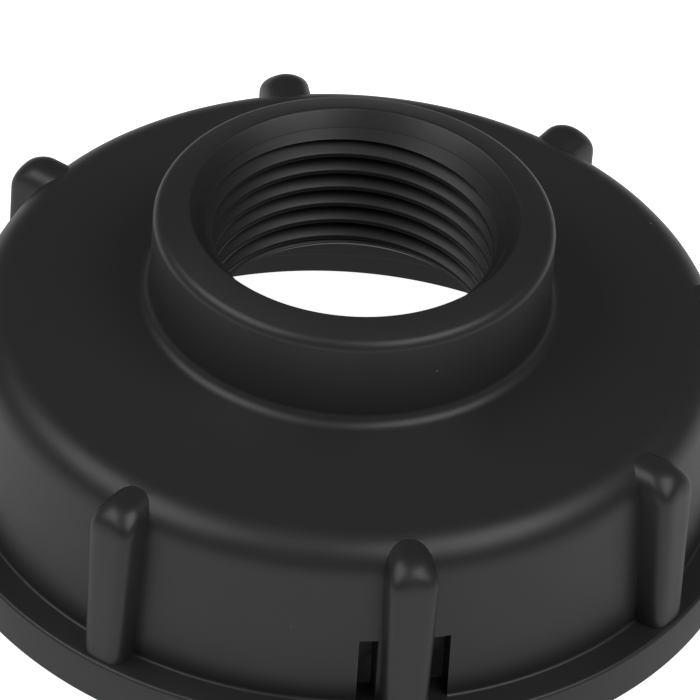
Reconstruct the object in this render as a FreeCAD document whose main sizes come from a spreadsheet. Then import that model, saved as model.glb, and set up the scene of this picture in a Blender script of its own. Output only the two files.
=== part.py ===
# Screw-on tap adapter for the outlet valve of an intermediate bulk container.
# One black moulding, with a coarse 60 mm thread inside its skirt and a 3/4 inch
# pipe bore in the boss on top, and the flat rubber gasket that seals it.
# Millimetres, +Z up. The origin is the centre of the flange's underside, and the
# grip rib with a window on each side of it points along -Y.
import FreeCAD, Part
import math
import os
from types import SimpleNamespace

import Sketcher
from FreeCAD import Placement, Rotation, Vector

SIZES = {
    "socket_radius": 30.2,
    "socket_depth": 17.5,
    "entry_relief": 0.4,
    "entry_depth": 2.2,
    "roof_corner_rounding": 1.0,
    "skirt_wall": 2.2,
    "skirt_draft": 0.3,
    "skirt_foot_rounding": 0.3,
    "flange_reach": 2.9,
    "flange_height": 4.2,
    "flange_rounding": 0.35,
    "roof_wall": 2.6,
    "shoulder_rounding": 3.5,
    "crown_rise": 2.0,
    "bore_radius": 12.06,
    "bore_foot_chamfer": 0.7,
    "countersink_reach": 2.24,
    "countersink_depth": 2.75,
    "boss_rim": 3.0,
    "boss_foot_rounding": 1.2,
    "boss_wall_height": 8.4,
    "boss_face_rise": 0.9,
    "boss_edge_rounding": 1.0,
    "thread_pitch": 6.0,
    "thread_depth": 2.3,
    "thread_start_height": 2.6,
    "thread_root_width": 3.3,
    "thread_lower_flank": 1.9,
    "thread_upper_flank": 0.2,
    "thread_sink": 0.3,
    "thread_end_gap": 0.6,
    "rib_count": 8,
    "rib_sink": 1.8,
    "rib_side_flare": 0.25,
    "rib_corner": 0.5,
    "rib_foot_reach": 2.45,
    "rib_foot_half": 1.8,
    "rib_knee_reach": 2.3,
    "rib_knee_half": 2.05,
    "rib_dome_height": 3.8,
    "rib_dome_depth": 3.6,
    "window_width": 1.65,
    "window_rise": 6.65,
    "window_inset": 0.3,
    "gasket_width": 4.2,
    "gasket_thickness": 2.5,
    "gasket_clearance": 0.2,
}
# Edges this near to a stated ring, in millimetres, are that ring.
SAME_RING = 0.01

doc = FreeCAD.newDocument("TapAdapter")
sheet = doc.addObject("Spreadsheet::Sheet", "Sizes")
for row, (name, value) in enumerate(SIZES.items(), start=1):
    sheet.set(f"A{row}", name)
    sheet.set(f"B{row}", str(value))
    sheet.setAlias(f"B{row}", name)
doc.recompute()


# A number together with the sheet expression that it is bound to.
class Size:
    def __init__(self, value, text):
        self.value = value
        self.text = text

    def __add__(self, other):
        return Size(self.value + other.value, f"({self.text} + {other.text})")

    def __sub__(self, other):
        return Size(self.value - other.value, f"({self.text} - {other.text})")

    def __neg__(self):
        return Size(-self.value, f"(0 - {self.text})")

    def __mul__(self, share):
        return Size(self.value * share, f"({self.text} * {share:.9f})")


size = SimpleNamespace(**{name: Size(float(sheet.get(name)), f"Sizes.{name}") for name in SIZES})
nought = Size(0.0, "0")


def new_body(label):
    body = doc.addObject("PartDesign::Body", label)
    body.Label = label
    return body


# Sketch on one of its body's own planes, lifted off it by the given height.
def new_sketch(body, name, role, height=nought):
    sketch = body.newObject("Sketcher::SketchObject", name)
    plane = next(f for f in body.Origin.OriginFeatures if f.Role == role)
    sketch.AttachmentSupport = [(plane, "")]
    sketch.MapMode = "FlatFace"
    sketch.AttachmentOffset = Placement(Vector(0, 0, height.value), Rotation())
    sketch.setExpression("AttachmentOffset.Base.z", height.text)
    return sketch


def bind(sketch, kind, geometry, point, measure):
    number = sketch.addConstraint(Sketcher.Constraint(kind, -1, 1, geometry, point, measure.value))
    sketch.setExpression(f"Constraints[{number}]", measure.text)


# Closed outline of straight lines through the given places.
def outline(sketch, places):
    points = [Vector(x.value, y.value, 0) for x, y in places]
    first = sketch.GeometryCount
    for start, end in zip(points, points[1:] + points[:1]):
        sketch.addGeometry(Part.LineSegment(start, end), False)
    last = sketch.GeometryCount - 1
    for line in range(first, last):
        sketch.addConstraint(Sketcher.Constraint("Coincident", line, 2, line + 1, 1))
    sketch.addConstraint(Sketcher.Constraint("Coincident", last, 2, first, 1))
    for line, (x, y) in enumerate(places, start=first):
        bind(sketch, "DistanceX", line, 1, x)
        bind(sketch, "DistanceY", line, 1, y)


def turned(body, name, sketch):
    solid = body.newObject("PartDesign::Revolution", name)
    solid.Profile = sketch
    solid.ReferenceAxis = (sketch, ["V_Axis"])
    solid.Angle = 360
    doc.recompute()
    return solid


# Rounds the circular edges that have the given radii and heights.
def round_rings(body, name, rounding, places):
    base = body.Tip
    edges = []
    for radius, height in places:
        for number, edge in enumerate(base.Shape.Edges, start=1):
            if not isinstance(edge.Curve, Part.Circle):
                continue
            off = abs(edge.Curve.Radius - radius.value) + abs(edge.Curve.Center.z - height.value)
            if off < SAME_RING:
                edges.append(f"Edge{number}")
    if len(edges) != len(places):
        raise RuntimeError(f"{name} finds {len(edges)} edges, not {len(places)}")
    fillet = body.newObject("PartDesign::Fillet", name)
    fillet.Base = (base, edges)
    fillet.setExpression("Radius", rounding.text)
    doc.recompute()


# Walls of the moulding: flange, skirt, sloping crown, boss with its bore, and socket
entry_radius = size.socket_radius + size.entry_relief
skirt_top_radius = size.socket_radius + size.skirt_wall
skirt_foot_radius = skirt_top_radius + size.skirt_draft
flange_radius = skirt_foot_radius + size.flange_reach
mouth_radius = size.bore_radius + size.countersink_reach
boss_radius = mouth_radius + size.boss_rim
shoulder_height = size.socket_depth + size.roof_wall
crown_height = shoulder_height + size.crown_rise
boss_edge_height = crown_height + size.boss_wall_height
boss_face_height = boss_edge_height + size.boss_face_rise
adapter = new_body("adapter_body")
wall_section = new_sketch(adapter, "WallSection", "XZ_Plane")
outline(
    wall_section,
    [
        (entry_radius, nought),
        (flange_radius, nought),
        (flange_radius, size.flange_height),
        (skirt_foot_radius, size.flange_height),
        (skirt_top_radius, shoulder_height),
        (boss_radius, crown_height),
        (boss_radius, boss_edge_height),
        (mouth_radius, boss_face_height),
        (size.bore_radius, boss_face_height - size.countersink_depth),
        (size.bore_radius, size.socket_depth + size.bore_foot_chamfer),
        (size.bore_radius + size.bore_foot_chamfer, size.socket_depth),
        (size.socket_radius, size.socket_depth),
        (size.socket_radius, size.entry_depth),
        (entry_radius, size.entry_depth),
    ],
)
turned(adapter, "Walls", wall_section)
round_rings(adapter, "Shoulder", size.shoulder_rounding, [(skirt_top_radius, shoulder_height)])
round_rings(adapter, "BossFoot", size.boss_foot_rounding, [(boss_radius, crown_height)])
round_rings(adapter, "BossEdge", size.boss_edge_rounding, [(boss_radius, boss_edge_height)])
flange_edges = [(flange_radius, nought), (flange_radius, size.flange_height)]
round_rings(adapter, "FlangeEdges", size.flange_rounding, flange_edges)
round_rings(adapter, "SkirtFoot", size.skirt_foot_rounding, [(skirt_foot_radius, size.flange_height)])
round_rings(adapter, "RoofCorner", size.roof_corner_rounding, [(size.socket_radius, size.socket_depth)])


# Level section through the front rib: narrower outwards, with its two outer corners
# rounded. It starts inside the skirt, and flat is half the flat part of its face.
def rib_section(name, height, reach, half, flat):
    section = new_sketch(adapter, name, "XY_Plane", height)
    corner = half - flat
    root = skirt_foot_radius - size.rib_sink
    root_half = half + size.rib_side_flare
    centre_y = corner - reach
    for side in (-1, 1):
        x = side * flat.value
        middle = Vector(x, centre_y.value, 0)
        start, end = (math.pi, 1.5 * math.pi) if side < 0 else (1.5 * math.pi, 2 * math.pi)
        section.addGeometry(Part.ArcOfCircle(Part.Circle(middle, Vector(0, 0, 1), corner.value), start, end))
    left, right, face, left_side, right_side, back = range(6)
    face_y = -reach.value
    corner_y = centre_y.value
    section.addGeometry(Part.LineSegment(Vector(-flat.value, face_y, 0), Vector(flat.value, face_y, 0)))
    section.addGeometry(
        Part.LineSegment(Vector(-root_half.value, -root.value, 0), Vector(-half.value, corner_y, 0))
    )
    section.addGeometry(
        Part.LineSegment(Vector(half.value, corner_y, 0), Vector(root_half.value, -root.value, 0))
    )
    section.addGeometry(
        Part.LineSegment(Vector(root_half.value, -root.value, 0), Vector(-root_half.value, -root.value, 0))
    )
    joints = [
        (left_side, 2, left, 1),
        (left, 2, face, 1),
        (face, 2, right, 1),
        (right, 2, right_side, 1),
    ]
    for joint in joints:
        section.addConstraint(Sketcher.Constraint("Tangent", *joint))
    section.addConstraint(Sketcher.Constraint("Coincident", right_side, 2, back, 1))
    section.addConstraint(Sketcher.Constraint("Coincident", back, 2, left_side, 1))
    bind(section, "DistanceX", left, 3, -flat)
    bind(section, "DistanceY", left, 3, centre_y)
    bind(section, "DistanceX", right, 3, flat)
    bind(section, "DistanceY", right, 3, centre_y)
    bind(section, "DistanceX", back, 1, root_half)
    bind(section, "DistanceY", back, 1, -root)
    bind(section, "DistanceX", back, 2, -root_half)
    bind(section, "DistanceY", back, 2, -root)
    number = section.addConstraint(Sketcher.Constraint("Radius", left, corner.value))
    section.setExpression(f"Constraints[{number}]", corner.text)
    return section


def loft(name, sections, ruled):
    solid = adapter.newObject("PartDesign::AdditiveLoft", name)
    solid.Profile = sections[0]
    solid.Sections = sections[1:]
    solid.Ruled = ruled
    solid.Refine = True
    doc.recompute()
    return solid


# The rib's shaft widens from the flange up to the knee, and its dome closes over
# above the knee like the end of a bullet. A dome's section is set by how far it has
# turned over, in degrees: its width follows a full, blunt curve, and the flat of its
# face dies away sooner, down to a small share that keeps the section in one form.
DOME_TURNS = (0, 30, 55, 75, 86)
DOME_BLUNTNESS = 3
FACE_FADE = 4
LEAST_FACE = 0.03
foot = rib_section(
    "RibFoot",
    size.flange_height - size.flange_rounding,
    skirt_foot_radius + size.rib_foot_reach,
    size.rib_foot_half,
    size.rib_foot_half - size.rib_corner,
)
knee_height = shoulder_height - size.rib_dome_height
knee_reach = skirt_foot_radius + size.rib_knee_reach
dome = []
for turn in DOME_TURNS:
    along = math.cos(math.radians(turn))
    up = math.sin(math.radians(turn))
    fullness = (1 - up**DOME_BLUNTNESS) ** (1 / DOME_BLUNTNESS)
    dome.append(
        rib_section(
            f"RibDome{turn}",
            knee_height + size.rib_dome_height * up,
            knee_reach - size.rib_dome_depth * (1 - along),
            size.rib_knee_half * fullness,
            (size.rib_knee_half - size.rib_corner) * max(along**FACE_FADE, LEAST_FACE),
        )
    )
rib_shaft = loft("RibShaft", [foot, dome[0]], True)
rib_dome = loft("RibDome", dome, False)
ribs = adapter.newObject("PartDesign::PolarPattern", "Ribs")
ribs.Originals = [rib_shaft, rib_dome]
ribs.Axis = (next(f for f in adapter.Origin.OriginFeatures if f.Role == "Z_Axis"), [""])
ribs.Angle = 360
ribs.Occurrences = int(size.rib_count.value)
ribs.setExpression("Occurrences", size.rib_count.text)
adapter.Tip = ribs
doc.recompute()

# Right-hand 60 mm thread: a ridge with a steep upper flank, which bears on the valve's
# thread, and a sloping lower one. It ends below the gasket.
thread_section = new_sketch(adapter, "ThreadSection", "XZ_Plane")
thread_root = size.socket_radius + size.thread_sink
crest_radius = size.socket_radius - size.thread_depth
thread_base_top = size.thread_start_height + size.thread_root_width
outline(
    thread_section,
    [
        (thread_root, size.thread_start_height),
        (thread_root, thread_base_top),
        (size.socket_radius, thread_base_top),
        (crest_radius, thread_base_top - size.thread_upper_flank),
        (crest_radius, size.thread_start_height + size.thread_lower_flank),
        (size.socket_radius, size.thread_start_height),
    ],
)
gasket_floor = size.socket_depth - size.gasket_thickness
thread = adapter.newObject("PartDesign::AdditiveHelix", "CoarseThread")
thread.Profile = thread_section
thread.ReferenceAxis = (thread_section, ["V_Axis"])
thread.Mode = "pitch-height-angle"
thread.LeftHanded = False
thread.Refine = True
thread.setExpression("Pitch", size.thread_pitch.text)
thread.setExpression("Height", (gasket_floor - size.thread_end_gap - thread_base_top).text)
adapter.Tip = thread
doc.recompute()

# Window on each side of the front rib, from the top of the flange up, cut from the
# socket's wall outwards, so that the thread inside runs on behind it.
windows = new_sketch(adapter, "Windows", "XZ_Plane", size.socket_radius - size.window_inset)
window_near = size.rib_knee_half + size.rib_side_flare
window_far = window_near + size.window_width
window_top = size.flange_height + size.window_rise
for left, right in ((window_near, window_far), (-window_far, -window_near)):
    outline(
        windows,
        [
            (left, size.flange_height),
            (right, size.flange_height),
            (right, window_top),
            (left, window_top),
        ],
    )
unpierced = adapter.Shape.Volume
window_cut = adapter.newObject("PartDesign::Pocket", "WindowCut")
window_cut.Profile = windows
window_cut.Type = "ThroughAll"
window_cut.Reversed = True
doc.recompute()
if adapter.Shape.Volume > unpierced - 1:
    raise RuntimeError("the windows cut nothing")

# Flat rubber ring under the roof of the socket, a little smaller than the opening
# between the thread's crests, through which it is pushed in
gasket = new_body("gasket")
gasket_section = new_sketch(gasket, "RingSection", "XZ_Plane")
gasket_radius = crest_radius - size.gasket_clearance
gasket_bore = gasket_radius - size.gasket_width
outline(
    gasket_section,
    [
        (gasket_bore, gasket_floor),
        (gasket_radius, gasket_floor),
        (gasket_radius, size.socket_depth),
        (gasket_bore, size.socket_depth),
    ],
)
turned(gasket, "Ring", gasket_section)

for item in doc.Objects:
    if "Invalid" in item.State or "Error" in item.State:
        raise RuntimeError(f"{item.Name} did not build")
os.makedirs("parts", exist_ok=True)
for piece in (adapter, gasket):
    piece.Placement = Placement(Vector(0, 0, 0), Rotation())
    shape = piece.Shape
    if shape.isNull() or not shape.isValid() or len(shape.Solids) != 1:
        raise RuntimeError(f"{piece.Label} is not one sound solid")
    shape.exportStep(f"parts/{piece.Label}.step")
    print(piece.Label, round(shape.Volume), "mm3", len(shape.Faces), "faces")
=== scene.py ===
import bmesh
import bpy
import math
from mathutils import Matrix, Vector


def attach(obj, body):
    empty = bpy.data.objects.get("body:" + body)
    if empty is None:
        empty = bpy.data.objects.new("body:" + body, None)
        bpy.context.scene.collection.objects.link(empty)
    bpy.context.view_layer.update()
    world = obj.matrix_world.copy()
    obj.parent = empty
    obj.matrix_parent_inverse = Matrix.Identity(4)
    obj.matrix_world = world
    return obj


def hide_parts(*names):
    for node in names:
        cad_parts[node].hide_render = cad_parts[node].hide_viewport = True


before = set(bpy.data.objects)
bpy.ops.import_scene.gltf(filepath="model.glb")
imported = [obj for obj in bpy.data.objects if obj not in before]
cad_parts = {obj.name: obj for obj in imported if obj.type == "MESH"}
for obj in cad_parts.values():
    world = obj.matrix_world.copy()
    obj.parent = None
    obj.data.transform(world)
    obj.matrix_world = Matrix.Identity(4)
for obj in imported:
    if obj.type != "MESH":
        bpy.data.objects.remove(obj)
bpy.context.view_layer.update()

# The camera stands 39 degrees above the adapter and a metre away, behind a long lens.
# It is rolled a little, and the rib between the windows lies right of the middle.
MM = 0.001
QUARTER_TURN = math.pi / 2
CAMERA_DISTANCE = 1034.0
CAMERA_AIM_HEIGHT = 20.0
CAMERA_ELEVATION = math.radians(38.98)
CAMERA_AZIMUTH = math.radians(-102.0)
CAMERA_YAW = math.radians(0.02)
CAMERA_PITCH = math.radians(-0.17)
CAMERA_ROLL = math.radians(3.99)
FOCAL_PIXELS = 12000.0
PHOTO_WIDTH = 700.0
SENSOR_WIDTH = 36.0
NEAREST_SEEN = 0.01
FARTHEST_SEEN = 20.0

camera_data = bpy.data.cameras.new("studio_camera")
camera_data.sensor_width = SENSOR_WIDTH
camera_data.lens = FOCAL_PIXELS / PHOTO_WIDTH * SENSOR_WIDTH
camera_data.clip_start = NEAREST_SEEN
camera_data.clip_end = FARTHEST_SEEN
camera = bpy.data.objects.new("studio_camera", camera_data)
bpy.context.scene.collection.objects.link(camera)
bpy.context.scene.camera = camera
heading = Matrix.Rotation(CAMERA_AZIMUTH + QUARTER_TURN, 4, "Z")
level = Matrix.Rotation(QUARTER_TURN, 4, "X")
tip = Matrix.Rotation(-CAMERA_ELEVATION, 4, "X")
yaw = Matrix.Rotation(-CAMERA_YAW, 4, "Y")
pitch = Matrix.Rotation(CAMERA_PITCH, 4, "X")
roll = Matrix.Rotation(CAMERA_ROLL, 4, "Z")
stand = Vector((0, -CAMERA_DISTANCE * math.cos(CAMERA_ELEVATION), 0))
stand.z = CAMERA_AIM_HEIGHT + CAMERA_DISTANCE * math.sin(CAMERA_ELEVATION)
camera.matrix_world = Matrix.Translation(heading @ (stand * MM)) @ heading @ level @ tip @ yaw @ pitch @ roll

# Studio table: one wide white sheet under the adapter, which glows like a light table around it.
# Its glow stops inside the adapter's footprint, which is painted shade under it, and a painted pool of
# light glows where the bore looks down on it. It isn't part of the object.
SHEET_HALF = 3.0
SHEET_LEVEL = -0.02
SHEET_COLOUR = (0.85, 0.85, 0.85, 1)
SHEET_ROUGHNESS = 0.9
SHEET_GLOW = 0.22
SHEET_GLOW_SEEN = 1.0
BORE_PAINTED_LIGHT_GLOW = 0.42
WHITE = (1, 1, 1, 1)
SHADE_RADIUS = 32.0
BORE_LIGHT_CENTRE = (4.7, 22.0)
BORE_LIGHT_RADIUS = 15.0
LIGHT_FADE = 2.0

bm = bmesh.new()
bmesh.ops.create_grid(bm, x_segments=1, y_segments=1, size=SHEET_HALF)
bmesh.ops.translate(bm, vec=(0, 0, SHEET_LEVEL * MM), verts=bm.verts)
sheet_mesh = bpy.data.meshes.new("studio_floor")
bm.to_mesh(sheet_mesh)
bm.free()
sheet = bpy.data.objects.new("studio_floor", sheet_mesh)
bpy.context.scene.collection.objects.link(sheet)


def new_material(name, colour, roughness):
    material = bpy.data.materials.new(name)
    material.use_nodes = True
    shader = material.node_tree.nodes["Principled BSDF"]
    shader.inputs["Base Color"].default_value = colour
    shader.inputs["Roughness"].default_value = roughness
    return material, material.node_tree, shader


# Joins a value or a colour to a socket, or sets the socket where it is a plain one.
def feed(tree, value, socket):
    if isinstance(value, bpy.types.NodeSocket):
        tree.links.new(value, socket)
    else:
        socket.default_value = value


def work_out(tree, operation, first, second):
    node = tree.nodes.new("ShaderNodeMath")
    node.operation = operation
    feed(tree, first, node.inputs[0])
    feed(tree, second, node.inputs[1])
    return node.outputs["Value"]


# Carries a value from one range over to another, and holds it at that range's ends.
def carry_over(tree, value, from_low, from_high, to_low=0.0, to_high=1.0):
    node = tree.nodes.new("ShaderNodeMapRange")
    node.inputs["From Min"].default_value = from_low
    node.inputs["From Max"].default_value = from_high
    node.inputs["To Min"].default_value = to_low
    node.inputs["To Max"].default_value = to_high
    feed(tree, value, node.inputs["Value"])
    return node.outputs["Result"]


# A mask over the sheet that goes from nothing to full between two radii about a place.
def sheet_spot(tree, place, middle, from_radius, to_radius):
    away = tree.nodes.new("ShaderNodeVectorMath")
    away.operation = "DISTANCE"
    away.inputs[1].default_value = (middle[0] * MM, middle[1] * MM, 0)
    feed(tree, place, away.inputs[0])
    return carry_over(tree, away.outputs["Value"], from_radius * MM, to_radius * MM)


white_sheet, tree, shader = new_material("white_sheet", SHEET_COLOUR, SHEET_ROUGHNESS)
place = tree.nodes.new("ShaderNodeTexCoord").outputs["Object"]
seen = tree.nodes.new("ShaderNodeLightPath").outputs["Is Camera Ray"]
# Painted shade: the sheet has no glow inside the adapter's footprint, so it is dark under the adapter.
around = sheet_spot(tree, place, (0, 0), SHADE_RADIUS, SHADE_RADIUS + LIGHT_FADE)
# Painted pool of light: a glowing spot inside the footprint, where light through the bore would fall.
painted_bore_light = sheet_spot(tree, place, BORE_LIGHT_CENTRE, BORE_LIGHT_RADIUS, BORE_LIGHT_RADIUS - LIGHT_FADE)
glow_around = work_out(tree, "MULTIPLY", carry_over(tree, seen, 0, 1, SHEET_GLOW, SHEET_GLOW_SEEN), around)
painted_bore_light_glow = work_out(tree, "MULTIPLY", carry_over(tree, seen, 0, 1, BORE_PAINTED_LIGHT_GLOW, SHEET_GLOW_SEEN), painted_bore_light)
shader.inputs["Emission Color"].default_value = WHITE
feed(tree, work_out(tree, "MAXIMUM", glow_around, painted_bore_light_glow), shader.inputs["Emission Strength"])
sheet_mesh.materials.append(white_sheet)

# Studio light: a dark room, and two broad soft boxes in front of the adapter, one
# left and one right of the camera, which leave a darker gap between them.
ROOM_LIGHT = 0.10
SOFTBOX_DISTANCE = 0.9
# Each box: azimuth and elevation in degrees, breadth and height in metres, and its power.
SOFTBOXES = {
    "left": (-178.0, 50.0, 0.80, 0.50, 3.2),
    "right": (-46.0, 54.0, 0.70, 0.50, 3.4),
}

room = bpy.data.worlds.new("studio_room")
room.use_nodes = True
room.node_tree.nodes["Background"].inputs["Color"].default_value = WHITE
room.node_tree.nodes["Background"].inputs["Strength"].default_value = ROOM_LIGHT
bpy.context.scene.world = room
for side, (azimuth, elevation, breadth, height, power) in SOFTBOXES.items():
    lamp = bpy.data.lights.new(f"softbox_{side}", "AREA")
    lamp.shape = "RECTANGLE"
    lamp.size = breadth
    lamp.size_y = height
    lamp.energy = power
    softbox = bpy.data.objects.new(f"softbox_{side}", lamp)
    bpy.context.scene.collection.objects.link(softbox)
    softbox.matrix_world = (
        Matrix.Rotation(math.radians(azimuth) + QUARTER_TURN, 4, "Z")
        @ Matrix.Rotation(-math.radians(elevation), 4, "X")
        @ Matrix.Translation((0, -SOFTBOX_DISTANCE, 0))
        @ Matrix.Rotation(QUARTER_TURN, 4, "X")
    )
bpy.context.scene.view_settings.view_transform = "Standard"

# Walls of the adapter: the turned form of one black polypropylene moulding, with its
# flange, skirt, sloping crown, boss and hollow socket. Sizes are in millimetres.
FULL_TURN = 2 * math.pi
WALL_STEPS = 256
ROUNDING_STEPS = 8
MERGE_DISTANCE = 0.00001
FLANGE_RADIUS = 35.6
FLANGE_HEIGHT = 4.2
FLANGE_ROUNDING = 0.35
SKIRT_FOOT_RADIUS = 32.7
SKIRT_FOOT_ROUNDING = 0.3
SKIRT_TOP_RADIUS = 32.4
SHOULDER_HEIGHT = 20.1
SHOULDER_ROUNDING = 3.5
CROWN_HEIGHT = 22.1
BOSS_RADIUS = 17.3
BOSS_FOOT_ROUNDING = 1.2
BOSS_EDGE_HEIGHT = 30.5
BOSS_EDGE_ROUNDING = 1.0
BOSS_FACE_HEIGHT = 31.4
THREAD_ROOT = 13.22
THREAD_CREST = 12.06
THREAD_WALL_ROUNDING = 0.1
COUNTERSINK_REACH = 2.24
COUNTERSINK_SLOPE = 2.75 / COUNTERSINK_REACH
MOUTH_RADIUS = THREAD_CREST + COUNTERSINK_REACH
MOUTH_ROUNDING = 0.3
LIP_TOP = 18.9
LIP_FLANK = 0.6
LIP_ROUNDING = 0.08
FOOT_CHAMFER = 0.7
FOOT_ROUNDING = 0.15
SOCKET_RADIUS = 30.2
SOCKET_DEPTH = 17.5
ROOF_CORNER_ROUNDING = 1.0
ENTRY_RADIUS = 30.6
ENTRY_DEPTH = 2.2
ENTRY_ROUNDING = 0.1
FOOT_RIM_ROUNDING = 0.15
# Each corner of the section: radius out, height, and the rounding that the mould gives it.
WALL_SECTION = [
    (ENTRY_RADIUS, 0, FOOT_RIM_ROUNDING),
    (FLANGE_RADIUS, 0, FLANGE_ROUNDING),
    (FLANGE_RADIUS, FLANGE_HEIGHT, FLANGE_ROUNDING),
    (SKIRT_FOOT_RADIUS, FLANGE_HEIGHT, SKIRT_FOOT_ROUNDING),
    (SKIRT_TOP_RADIUS, SHOULDER_HEIGHT, SHOULDER_ROUNDING),
    (BOSS_RADIUS, CROWN_HEIGHT, BOSS_FOOT_ROUNDING),
    (BOSS_RADIUS, BOSS_EDGE_HEIGHT, BOSS_EDGE_ROUNDING),
    (MOUTH_RADIUS, BOSS_FACE_HEIGHT, MOUTH_ROUNDING),
    (THREAD_ROOT, BOSS_FACE_HEIGHT - (MOUTH_RADIUS - THREAD_ROOT) * COUNTERSINK_SLOPE, THREAD_WALL_ROUNDING),
    (THREAD_ROOT, LIP_TOP, THREAD_WALL_ROUNDING),
    (THREAD_CREST, LIP_TOP - LIP_FLANK, LIP_ROUNDING),
    (THREAD_CREST, SOCKET_DEPTH + FOOT_CHAMFER, LIP_ROUNDING),
    (THREAD_CREST + FOOT_CHAMFER, SOCKET_DEPTH, FOOT_ROUNDING),
    (SOCKET_RADIUS, SOCKET_DEPTH, ROOF_CORNER_ROUNDING),
    (SOCKET_RADIUS, ENTRY_DEPTH, ENTRY_ROUNDING),
    (ENTRY_RADIUS, ENTRY_DEPTH, ENTRY_ROUNDING),
]


# A closed section in the XZ plane, drawn as a wire, with each corner rounded off.
def rounded_section(bm, corners, steps):
    points = [bm.verts.new((x * MM, 0, z * MM)) for x, z, rounding in corners]
    for start, end in zip(points, points[1:] + points[:1]):
        bm.edges.new((start, end))
    for point, (x, z, rounding) in zip(points, corners):
        if rounding == 0:
            continue
        before, after = [edge.other_vert(point).co - point.co for edge in point.link_edges]
        reach = rounding * MM / math.tan(before.angle(after) / 2)
        bmesh.ops.bevel(
            bm,
            geom=[point],
            offset=reach,
            offset_type="OFFSET",
            segments=steps,
            profile=0.5,
            affect="VERTICES",
            material=-1,
        )


def new_piece(name, bm):
    mesh = bpy.data.meshes.new(name)
    bm.to_mesh(mesh)
    bm.free()
    piece = bpy.data.objects.new(name, mesh)
    bpy.context.scene.collection.objects.link(piece)
    return piece


# Turns a section once round the Z axis and closes it up into a ring.
def turned_piece(name, corners, rounding_steps):
    bm = bmesh.new()
    rounded_section(bm, corners, rounding_steps)
    section = bm.verts[:] + bm.edges[:]
    bmesh.ops.spin(bm, geom=section, axis=(0, 0, 1), angle=FULL_TURN, steps=WALL_STEPS, use_merge=True)
    bmesh.ops.remove_doubles(bm, verts=bm.verts, dist=MERGE_DISTANCE * MM)
    bmesh.ops.recalc_face_normals(bm, faces=bm.faces)
    return new_piece(name, bm)


adapter = turned_piece("adapter_moulding", WALL_SECTION, ROUNDING_STEPS)

# Grip ribs: eight upright ribs round the skirt, moulded with it. Each has a blunt nose
# and straight sides, widens a little upwards, and is domed over onto the shoulder.
RIB_COUNT = 8
RIB_NOSE_STEPS = 48
RIB_BACK_CORNERS = 3
RIB_CORE_RADIUS = 30.4
RIB_CORE_MARGIN = 1.0
RIB_FOOT_HEIGHT = 3.8
RIB_FOOT_REACH = 35.2
RIB_FOOT_HALF = 1.92
RIB_KNEE_HEIGHT = 17.6
RIB_KNEE_REACH = 35.1
RIB_KNEE_HALF = 2.2
RIB_SHAFT_NOSE = 1.7
RIB_SHAFT_BLUNTNESS = 3.6
RIB_SHAFT_RINGS = 2
RIB_DOME_NOSE = 2.2
RIB_DOME_BLUNTNESS = 2.0
RIB_DOME_HEIGHT = 2.6
RIB_DOME_DEPTH = 2.7
RIB_DOME_FULLNESS = 2.3
RIB_DOME_CROWN = 2.5
RIB_DOME_BLEND = 0.6
RIB_LEAST_NOSE = 0.1
RIB_DOME_RINGS = 32
RIB_DOME_SHARE = 0.985


def between(start, end, share):
    return start + (end - start) * share


# Moves a ring to the rib's level section at one height. The nose is a blunt oval, and the
# straight sides run from it into the wall behind.
def set_rib_ring(ring, height, reach, half, nose, bluntness):
    core = min(RIB_CORE_RADIUS, reach - nose - RIB_CORE_MARGIN)
    for place, vert in enumerate(ring):
        if place <= RIB_NOSE_STEPS:
            across = -math.cos(math.pi * place / RIB_NOSE_STEPS)
            fall = 1 - (1 - abs(across) ** bluntness) ** (1 / bluntness)
            vert.co = Vector((across * half, nose * fall - reach, height)) * MM
        else:
            side = 1 if place == RIB_NOSE_STEPS + 1 else -1
            vert.co = Vector((side * half, -core, height)) * MM


# The rib's level section on its straight shaft, from foot (0) to knee (1).
def shaft_level(share):
    height = between(RIB_FOOT_HEIGHT, RIB_KNEE_HEIGHT, share)
    reach = between(RIB_FOOT_REACH, RIB_KNEE_REACH, share)
    half = between(RIB_FOOT_HALF, RIB_KNEE_HALF, share)
    return height, reach, half, RIB_SHAFT_NOSE, RIB_SHAFT_BLUNTNESS


# The rib's level section on its dome, which narrows and leans back from knee (0) to top (1).
def dome_level(share):
    turn = QUARTER_TURN * share * RIB_DOME_SHARE
    rise = math.sin(turn) ** (2 / RIB_DOME_FULLNESS)
    lean = 1 - math.cos(turn) ** (2 / RIB_DOME_FULLNESS)
    narrowing = (1 - rise**RIB_DOME_CROWN) ** (1 / RIB_DOME_CROWN)
    blend = min(1, turn / QUARTER_TURN / RIB_DOME_BLEND)
    blend = blend * blend * (3 - 2 * blend)
    nose = between(RIB_SHAFT_NOSE, RIB_DOME_NOSE, blend) * narrowing
    return (
        RIB_KNEE_HEIGHT + RIB_DOME_HEIGHT * rise,
        RIB_KNEE_REACH - RIB_DOME_DEPTH * lean,
        RIB_KNEE_HALF * narrowing,
        max(nose, RIB_LEAST_NOSE),
        between(RIB_SHAFT_BLUNTNESS, RIB_DOME_BLUNTNESS, blend),
    )


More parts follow.
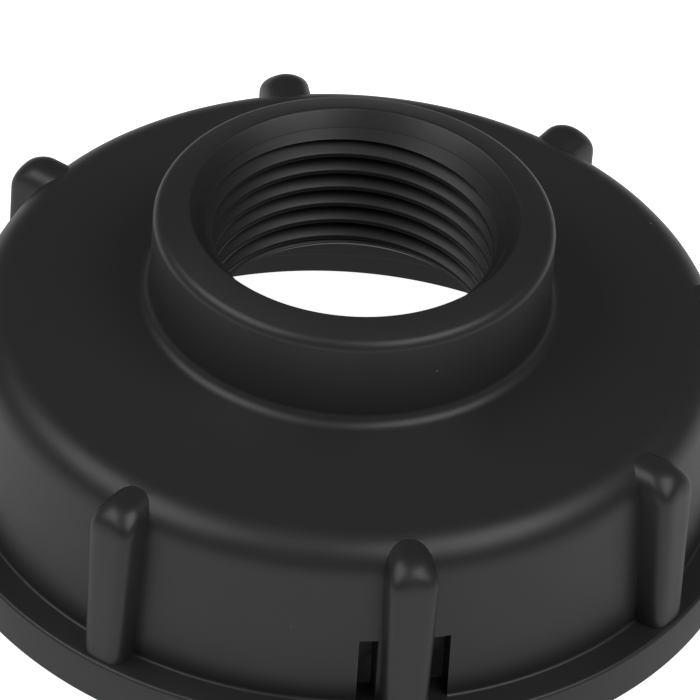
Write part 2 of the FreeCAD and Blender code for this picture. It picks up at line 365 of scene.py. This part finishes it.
levels = [shaft_level(step / RIB_SHAFT_RINGS) for step in range(RIB_SHAFT_RINGS + 1)]
levels += [dome_level(step / RIB_DOME_RINGS) for step in range(1, RIB_DOME_RINGS + 1)]
bm = bmesh.new()
bmesh.ops.create_circle(bm, cap_ends=True, radius=1, segments=RIB_NOSE_STEPS + RIB_BACK_CORNERS)
cap = bm.faces[:][0]
set_rib_ring(cap.verts, *levels[0])
caps = []
for rib_level in levels[1:]:
    grown = bmesh.ops.extrude_face_region(bm, geom=[cap])
    cap = next(part for part in grown["geom"] if isinstance(part, bmesh.types.BMFace))
    set_rib_ring(cap.verts, *rib_level)
    caps.append(cap)
bmesh.ops.delete(bm, geom=caps[:-1], context="FACES_ONLY")
bmesh.ops.recalc_face_normals(bm, faces=bm.faces)
one_rib = bm.verts[:] + bm.edges[:] + bm.faces[:]
for place in range(1, RIB_COUNT):
    copy = bmesh.ops.duplicate(bm, geom=one_rib)
    copied = [part for part in copy["geom"] if isinstance(part, bmesh.types.BMVert)]
    turned = Matrix.Rotation(FULL_TURN * place / RIB_COUNT, 3, "Z")
    bmesh.ops.rotate(bm, cent=(0, 0, 0), matrix=turned, verts=copied)
ribs = new_piece("ribs", bm)


# Joins a piece to the moulding or cuts it out, and keeps the one mesh that results.
def combine(body, tool, operation):
    boolean = body.modifiers.new("combine", "BOOLEAN")
    boolean.operation = operation
    boolean.solver = "MANIFOLD"
    boolean.object = tool
    bpy.context.view_layer.update()
    shaped = bpy.data.meshes.new_from_object(body.evaluated_get(bpy.context.evaluated_depsgraph_get()))
    body.modifiers.remove(boolean)
    body.data = shaped
    bpy.data.objects.remove(tool)


combine(adapter, ribs, "UNION")

# Fine thread in the boss: a right-hand 3/4 inch parallel pipe thread, moulded on a core
# that screws out. It is cut off by the countersink above and by the plain lip below.
FINE_PITCH = 1.814
FINE_TURNS = 9
FINE_STEPS = 160
FINE_SEEN_CREST = 27.89
FINE_TURNS_BELOW = 7
FINE_CREST_AZIMUTH = math.radians(78.0)
FINE_ROOT_HALF = 0.80
FINE_ROOT_ROUNDING = 0.1
FINE_CREST_HALF = 0.20
FINE_CREST_ROUNDING = 0.16
FINE_ROUNDING_STEPS = 5
FINE_SINK = 0.5
CUT_SKIN = 0.02
CUT_ABOVE = 1.0
CUT_BELOW = 3.5
CUT_REACH = 20.0
CUT_CORE = 0.5
CUT_INWARD = 1.0
CUT_UPWARD = 0.5


# A ridge along a helix: its section is drawn at its lowest place, with its middle at the
# given height, and is wound up round the Z axis, and then both its ends are closed.
def wound_ridge(name, section, height, pitch, turns, steps_a_turn, rounding_steps):
    bm = bmesh.new()
    rounded_section(bm, [(x, z + height, rounding) for x, z, rounding in section], rounding_steps)
    bmesh.ops.spin(
        bm,
        geom=bm.verts[:] + bm.edges[:],
        axis=(0, 0, 1),
        dvec=(0, 0, pitch * MM / steps_a_turn),
        angle=FULL_TURN * turns,
        steps=round(turns * steps_a_turn),
    )
    open_ends = [edge for edge in bm.edges if edge.is_boundary]
    bmesh.ops.edgeloop_fill(bm, edges=open_ends)
    bmesh.ops.recalc_face_normals(bm, faces=bm.faces)
    return new_piece(name, bm)


fine_section = [
    (THREAD_ROOT + FINE_SINK, -FINE_ROOT_HALF, 0),
    (THREAD_ROOT, -FINE_ROOT_HALF, FINE_ROOT_ROUNDING),
    (THREAD_CREST, -FINE_CREST_HALF, FINE_CREST_ROUNDING),
    (THREAD_CREST, FINE_CREST_HALF, FINE_CREST_ROUNDING),
    (THREAD_ROOT, FINE_ROOT_HALF, FINE_ROOT_ROUNDING),
    (THREAD_ROOT + FINE_SINK, FINE_ROOT_HALF, 0),
]
fine_foot = FINE_SEEN_CREST - FINE_PITCH * (FINE_TURNS_BELOW + FINE_CREST_AZIMUTH / FULL_TURN)
fine_thread = wound_ridge(
    "fine_thread", fine_section, fine_foot, FINE_PITCH, FINE_TURNS, FINE_STEPS, FINE_ROUNDING_STEPS
)
# Both cutters stop a hair inside the walls that they share with the moulding.
mouth_high = BOSS_FACE_HEIGHT + CUT_ABOVE
mouth_low = BOSS_FACE_HEIGHT - (MOUTH_RADIUS - THREAD_CREST + CUT_INWARD) * COUNTERSINK_SLOPE - CUT_SKIN
mouth_section = [
    (CUT_CORE, mouth_high, 0),
    (MOUTH_RADIUS + (CUT_ABOVE + CUT_SKIN) / COUNTERSINK_SLOPE, mouth_high, 0),
    (THREAD_CREST - CUT_INWARD, mouth_low, 0),
    (CUT_CORE, mouth_low, 0),
]
roof = SOCKET_DEPTH + CUT_SKIN
foot_section = [
    (CUT_CORE, SOCKET_DEPTH - CUT_BELOW, 0),
    (CUT_REACH, SOCKET_DEPTH - CUT_BELOW, 0),
    (CUT_REACH, roof, 0),
    (THREAD_CREST + FOOT_CHAMFER, roof, 0),
    (THREAD_CREST, roof + FOOT_CHAMFER, 0),
    (THREAD_CREST - CUT_UPWARD, roof + FOOT_CHAMFER + CUT_UPWARD, 0),
    (CUT_CORE, roof + FOOT_CHAMFER + CUT_UPWARD, 0),
]
for name, section in (("mouth_cutter", mouth_section), ("foot_cutter", foot_section)):
    combine(fine_thread, turned_piece(name, section, 1), "DIFFERENCE")
combine(adapter, fine_thread, "UNION")

# Coarse thread in the socket: one right-hand ridge of 6 mm pitch, with a steep upper
# flank that bears on the valve's thread. It ends just below the gasket.
COARSE_PITCH = 6.0
COARSE_FOOT = 2.6
COARSE_RISE = 8.5
COARSE_ROOT_WIDTH = 3.3
COARSE_LOWER_FLANK = 1.9
COARSE_UPPER_FLANK = 0.2
COARSE_CREST = 27.9
COARSE_CREST_ROUNDING = 0.3
COARSE_ROUNDING_STEPS = 4
COARSE_SINK = 0.8
COARSE_TURNS = COARSE_RISE / COARSE_PITCH
COARSE_STEPS = 256

coarse_section = [
    (SOCKET_RADIUS + COARSE_SINK, 0, 0),
    (SOCKET_RADIUS + COARSE_SINK, COARSE_ROOT_WIDTH, 0),
    (SOCKET_RADIUS, COARSE_ROOT_WIDTH, 0),
    (COARSE_CREST, COARSE_ROOT_WIDTH - COARSE_UPPER_FLANK, COARSE_CREST_ROUNDING),
    (COARSE_CREST, COARSE_LOWER_FLANK, COARSE_CREST_ROUNDING),
    (SOCKET_RADIUS, 0, 0),
]
coarse_thread = wound_ridge(
    "coarse_thread",
    coarse_section,
    COARSE_FOOT,
    COARSE_PITCH,
    COARSE_TURNS,
    COARSE_STEPS,
    COARSE_ROUNDING_STEPS,
)
combine(adapter, coarse_thread, "UNION")

# Windows: one opening through the skirt on each side of the front rib, with its sill
# level with the flange. The coarse thread runs on behind them.
WINDOW_NEAR = 2.3
WINDOW_FAR = 3.95
WINDOW_TOP = 10.85
WINDOW_SILL_SKIN = 0.002
WINDOW_SILL = FLANGE_HEIGHT + WINDOW_SILL_SKIN
WINDOW_INSET = 0.3
WINDOW_INNER = SOCKET_RADIUS - WINDOW_INSET
WINDOW_OUTER = 34.0

bm = bmesh.new()
for side in (-1, 1):
    block = bmesh.ops.create_cube(bm, size=1)["verts"]
    near = Vector((side * WINDOW_NEAR, -WINDOW_INNER, WINDOW_SILL))
    far = Vector((side * WINDOW_FAR, -WINDOW_OUTER, WINDOW_TOP))
    bmesh.ops.scale(bm, vec=[abs(length) * MM for length in far - near], verts=block)
    bmesh.ops.translate(bm, vec=(near + far) / 2 * MM, verts=block)
combine(adapter, new_piece("window_cutter", bm), "DIFFERENCE")

# Black moulded polypropylene: satin, very slightly mottled, with a fine spark-eroded
# grain from the mould, rubbed a little paler on its edges and dusted with a few specks.
PLASTIC_COLOUR = (0.020, 0.020, 0.0205, 1)
PLASTIC_WORN_COLOUR = (0.036, 0.036, 0.036, 1)
PLASTIC_ROUGHNESS = (0.37, 0.45)
PLASTIC_WORN_ROUGHNESS = 0.34
PLASTIC_SMOOTH_ANGLE = math.radians(18)
GRAIN_SCALE = 5200.0
GRAIN_DETAIL = 2.0
GRAIN_HEIGHT = 0.004
MOTTLE_SCALE = 160.0
MOTTLE_DETAIL = 5.0
MOTTLE_RANGE = (0.3, 0.7)
FLOW_SCALE = 34.0
FLOW_DETAIL = 2.0
FLOW_SWIRL = 1.5
EDGE_RADIUS = 0.35
EDGE_SAMPLES = 4
EDGE_TURN = (0.995, 0.90)
DUST_SCALE = 420.0
DUST_SIZE = 0.055
DUST_CORE = 0.4
DUST_SHARE = 0.14
DUST_COLOUR = (0.20, 0.20, 0.19, 1)


def noise(tree, place, scale, detail, swirl=0.0):
    node = tree.nodes.new("ShaderNodeTexNoise")
    node.inputs["Detail"].default_value = detail
    node.inputs["Distortion"].default_value = swirl
    feed(tree, place, node.inputs["Vector"])
    feed(tree, scale, node.inputs["Scale"])
    return node.outputs["Fac"]


# A mask that is full where the surface turns over an edge, and nothing on a flat.
def edge_mask(tree):
    rounded = tree.nodes.new("ShaderNodeBevel")
    rounded.samples = EDGE_SAMPLES
    rounded.inputs["Radius"].default_value = EDGE_RADIUS * MM
    facing = tree.nodes.new("ShaderNodeVectorMath")
    facing.operation = "DOT_PRODUCT"
    feed(tree, rounded.outputs["Normal"], facing.inputs[0])
    feed(tree, tree.nodes.new("ShaderNodeNewGeometry").outputs["Normal"], facing.inputs[1])
    return carry_over(tree, facing.outputs["Value"], *EDGE_TURN)


# A mask of small round specks, in a few cells only.
def dust_mask(tree, place, scale):
    cells = tree.nodes.new("ShaderNodeTexVoronoi")
    feed(tree, place, cells.inputs["Vector"])
    feed(tree, scale, cells.inputs["Scale"])
    speck = carry_over(tree, cells.outputs["Distance"], DUST_SIZE, DUST_SIZE * DUST_CORE)
    chosen = work_out(tree, "GREATER_THAN", cells.outputs["Color"], 1 - DUST_SHARE)
    return work_out(tree, "MULTIPLY", speck, chosen)


# Moulded surface: a fine grain for bump, a soft mottle and broad flow marks for gloss, a
# mask of rubbed edges and a sparse mask of dust.
moulded_surface = bpy.data.node_groups.new("moulded_surface", "ShaderNodeTree")
scales = {"Grain Scale": GRAIN_SCALE, "Mottle Scale": MOTTLE_SCALE, "Dust Scale": DUST_SCALE}
for name, value in scales.items():
    socket = moulded_surface.interface.new_socket(name=name, in_out="INPUT", socket_type="NodeSocketFloat")
    socket.default_value = value
for name in ("Grain", "Mottle", "Flow", "Edge", "Dust"):
    moulded_surface.interface.new_socket(name=name, in_out="OUTPUT", socket_type="NodeSocketFloat")
into = moulded_surface.nodes.new("NodeGroupInput")
out = moulded_surface.nodes.new("NodeGroupOutput")
place = moulded_surface.nodes.new("ShaderNodeTexCoord").outputs["Object"]
grain = noise(moulded_surface, place, into.outputs["Grain Scale"], GRAIN_DETAIL)
mottle = noise(moulded_surface, place, into.outputs["Mottle Scale"], MOTTLE_DETAIL)
mottle = carry_over(moulded_surface, mottle, *MOTTLE_RANGE)
flow = noise(moulded_surface, place, FLOW_SCALE, FLOW_DETAIL, FLOW_SWIRL)
rubbed = work_out(moulded_surface, "MULTIPLY", edge_mask(moulded_surface), mottle)
dust = dust_mask(moulded_surface, place, into.outputs["Dust Scale"])
for name, value in (("Grain", grain), ("Mottle", mottle), ("Flow", flow), ("Edge", rubbed), ("Dust", dust)):
    feed(moulded_surface, value, out.inputs[name])


def mixed(tree, kind, share, first, second):
    node = tree.nodes.new("ShaderNodeMix")
    node.data_type = kind
    feed(tree, share, node.inputs["Factor"])
    feed(tree, first, node.inputs["A"])
    feed(tree, second, node.inputs["B"])
    return node.outputs["Result"]


# Raises a material's surface by a pattern that is a given height in millimetres.
def raise_grain(tree, shader, pattern, height):
    bump = tree.nodes.new("ShaderNodeBump")
    bump.inputs["Distance"].default_value = height * MM
    feed(tree, pattern, bump.inputs["Height"])
    feed(tree, bump.outputs["Normal"], shader.inputs["Normal"])


plastic, tree, shader = new_material("black_polypropylene", PLASTIC_COLOUR, PLASTIC_ROUGHNESS[0])
surface = tree.nodes.new("ShaderNodeGroup")
surface.node_tree = moulded_surface
marks = work_out(tree, "ADD", surface.outputs["Mottle"], surface.outputs["Flow"])
gloss = carry_over(tree, marks, 0, 2, *PLASTIC_ROUGHNESS)
polished = mixed(tree, "FLOAT", surface.outputs["Edge"], gloss, PLASTIC_WORN_ROUGHNESS)
worn = mixed(tree, "RGBA", surface.outputs["Edge"], PLASTIC_COLOUR, PLASTIC_WORN_COLOUR)
dusted = mixed(tree, "RGBA", surface.outputs["Dust"], worn, DUST_COLOUR)
feed(tree, polished, shader.inputs["Roughness"])
feed(tree, dusted, shader.inputs["Base Color"])
raise_grain(tree, shader, surface.outputs["Grain"], GRAIN_HEIGHT)
adapter.data.materials.clear()
adapter.data.materials.append(plastic)
adapter.data.shade_smooth()
adapter.data.set_sharp_from_angle(angle=PLASTIC_SMOOTH_ANGLE)
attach(adapter, "root")
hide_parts("adapter_body")

# Gasket: a flat ring punched from black rubber sheet and pushed up under the roof of the
# socket past the thread. Its cut edges are square, and its faces have a dull bloom.
GASKET_OUTER = 27.7
GASKET_INNER = 23.5
GASKET_LOW = 15.0
GASKET_HIGH = 17.5
GASKET_EDGE = 0.15
GASKET_ROUNDING_STEPS = 4
GASKET_SMOOTH_ANGLE = math.radians(30)
RUBBER_COLOUR = (0.020, 0.020, 0.021, 1)
BLOOM_COLOUR = (0.035, 0.036, 0.038, 1)
RUBBER_ROUGHNESS = (0.62, 0.78)
RUBBER_GRAIN_SCALE = 3000.0
RUBBER_GRAIN_HEIGHT = 0.02

gasket_section = [
    (GASKET_INNER, GASKET_LOW, GASKET_EDGE),
    (GASKET_OUTER, GASKET_LOW, GASKET_EDGE),
    (GASKET_OUTER, GASKET_HIGH, GASKET_EDGE),
    (GASKET_INNER, GASKET_HIGH, GASKET_EDGE),
]
gasket = turned_piece("gasket_ring", gasket_section, GASKET_ROUNDING_STEPS)
rubber, tree, shader = new_material("black_rubber", RUBBER_COLOUR, RUBBER_ROUGHNESS[0])
surface = tree.nodes.new("ShaderNodeGroup")
surface.node_tree = moulded_surface
surface.inputs["Grain Scale"].default_value = RUBBER_GRAIN_SCALE
mottle = surface.outputs["Mottle"]
feed(tree, carry_over(tree, mottle, 0, 1, *RUBBER_ROUGHNESS), shader.inputs["Roughness"])
feed(tree, mixed(tree, "RGBA", mottle, RUBBER_COLOUR, BLOOM_COLOUR), shader.inputs["Base Color"])
raise_grain(tree, shader, surface.outputs["Grain"], RUBBER_GRAIN_HEIGHT)
gasket.data.materials.append(rubber)
gasket.data.shade_smooth()
gasket.data.set_sharp_from_angle(angle=GASKET_SMOOTH_ANGLE)
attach(gasket, "root")
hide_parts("gasket")
